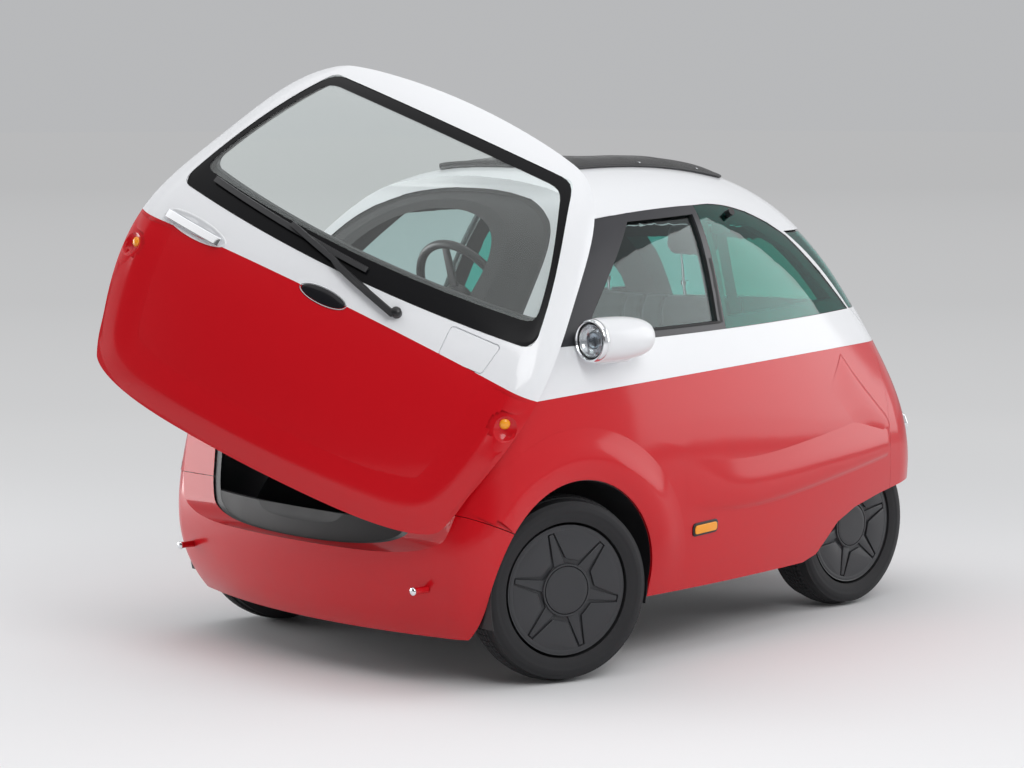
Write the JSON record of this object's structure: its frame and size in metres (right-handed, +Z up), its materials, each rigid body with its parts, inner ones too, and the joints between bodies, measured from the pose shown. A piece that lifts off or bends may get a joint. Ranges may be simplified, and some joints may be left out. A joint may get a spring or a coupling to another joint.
{
  "type": "microcar",
  "caption": "Small egg-shaped electric microcar with a front-hinged door swung open, folding fabric roof, narrow rear track and side headlamp pods.",
  "frame": {"origin": "on the ground, on the middle plane, 1.215 m in front of the tail and about midway along the body", "axes": "+Z up, the nose towards -Y, the car's left side towards +X"},
  "size_m": [1.5796, 2.8172, 1.7353],
  "materials": {
    "red_paint": "gloss",
    "white_paint": "gloss",
    "black_trim": "satin",
    "gloss_black": "gloss",
    "seal_rubber": "matte",
    "clear_glass": "gloss",
    "tinted_glass": "gloss",
    "roof_fabric": "matte",
    "seat_cover": "matte",
    "belt_webbing": "matte",
    "chrome": "polished",
    "mirror": "polished",
    "amber": "gloss",
    "lamp_red": "gloss",
    "plate_white": "satin",
    "tyre": "matte",
    "wheel_cover": "satin",
    "steel": "satin",
    "frame_steel": "satin",
    "block_grey": "satin"
  },
  "bodies": {
    "car_body": {"bench_back": "seat_cover", "bench_cushion": "seat_cover", "bumper_studs": "chrome", "cabin_tub": "black_trim", "column_and_pedals": "frame_steel", "door_seal": "seal_rubber", "drive_blocks": "block_grey", "fabric_roof": "roof_fabric", "front_bumper": "red_paint", "front_suspension": "frame_steel", "headlamp_lenses": "clear_glass", "headlamp_pods": "white_paint", "headlamp_rims": "chrome", "hinge_brackets": "frame_steel", "mirror_glasses": "mirror", "number_plate": "plate_white", "rear_panel": "red_paint", "rear_suspension": "frame_steel", "roof_shell": "white_paint", "seat_belts": "belt_webbing", "side_glass": "tinted_glass", "side_markers": "amber", "side_panels": "red_paint", "tail_lamps": "lamp_red", "window_frames": "black_trim"},
    "front_door": {"door_badge": "gloss_black", "door_handle": "chrome", "door_hinge_arm": "frame_steel", "door_lamps": "amber", "door_liner": "black_trim", "door_lower": "red_paint", "door_upper": "white_paint", "screen_border": "gloss_black", "windscreen": "clear_glass", "wiper": "black_trim"},
    "hatch": {"hatch_belt": "white_paint", "hatch_frame": "black_trim", "hatch_glass": "tinted_glass", "hatch_hinges": "frame_steel", "hatch_lower": "red_paint"},
    "left_knuckle": {"knuckle_left": "steel"},
    "right_knuckle": {"knuckle_right": "steel"},
    "steering_wheel": {"steering_wheel": "black_trim"},
    "front_left_wheel": {"front_left_tyre": "tyre", "front_left_wheel": "wheel_cover"},
    "front_right_wheel": {"front_right_tyre": "tyre", "front_right_wheel": "wheel_cover"},
    "rear_left_wheel": {"rear_left_tyre": "tyre", "rear_left_wheel": "wheel_cover"},
    "rear_right_wheel": {"rear_right_tyre": "tyre", "rear_right_wheel": "wheel_cover"}
  },
  "joints": [
    {"name": "front_door_hinge", "type": "hinge", "parent": "car_body", "child": "front_door", "pos_m": [0.645, -0.731, 0.8], "axis": [0, 0.7071, 0.7071], "range_deg": [-33.1, 4]},
    {"name": "hatch_hinge", "type": "hinge", "parent": "car_body", "child": "hatch", "pos_m": [0, 0.818, 1.239], "axis": [1, 0, 0], "range_deg": [0, 60]},
    {"name": "left_steer", "type": "hinge", "parent": "car_body", "child": "left_knuckle", "pos_m": [0.606, -0.73, 0.265], "axis": [0, 0, 1], "range_deg": [-12.2, 43.8]},
    {"name": "right_steer", "type": "hinge", "parent": "car_body", "child": "right_knuckle", "pos_m": [-0.606, -0.73, 0.265], "axis": [0, 0, 1], "range_deg": [-13.2, 44.8]},
    {"name": "handwheel_turn", "type": "hinge", "parent": "car_body", "child": "steering_wheel", "pos_m": [0.145, -0.64, 1.056], "axis": [0, -0.891, -0.454], "range_deg": [-175.8, 618.2]},
    {"name": "front_left_wheel_spin", "type": "hinge", "parent": "left_knuckle", "child": "front_left_wheel", "pos_m": [0.62572, -0.73558, 0.265], "axis": [0.9622, -0.2723, 0], "continuous": true},
    {"name": "front_right_wheel_spin", "type": "hinge", "parent": "right_knuckle", "child": "front_right_wheel", "pos_m": [-0.62572, -0.72442, 0.265], "axis": [0.9622, -0.2723, 0], "continuous": true},
    {"name": "rear_left_wheel_spin", "type": "hinge", "parent": "car_body", "child": "rear_left_wheel", "pos_m": [0.4155, 0.752, 0.265], "axis": [1, 0, 0], "continuous": true},
    {"name": "rear_right_wheel_spin", "type": "hinge", "parent": "car_body", "child": "rear_right_wheel", "pos_m": [-0.4155, 0.752, 0.265], "axis": [1, 0, 0], "continuous": true}
  ],
  "couplings": [
    {"joint": "right_steer", "follows": "left_steer", "ratio": 1},
    {"joint": "handwheel_turn", "follows": "left_steer", "ratio": 14}
  ]
}
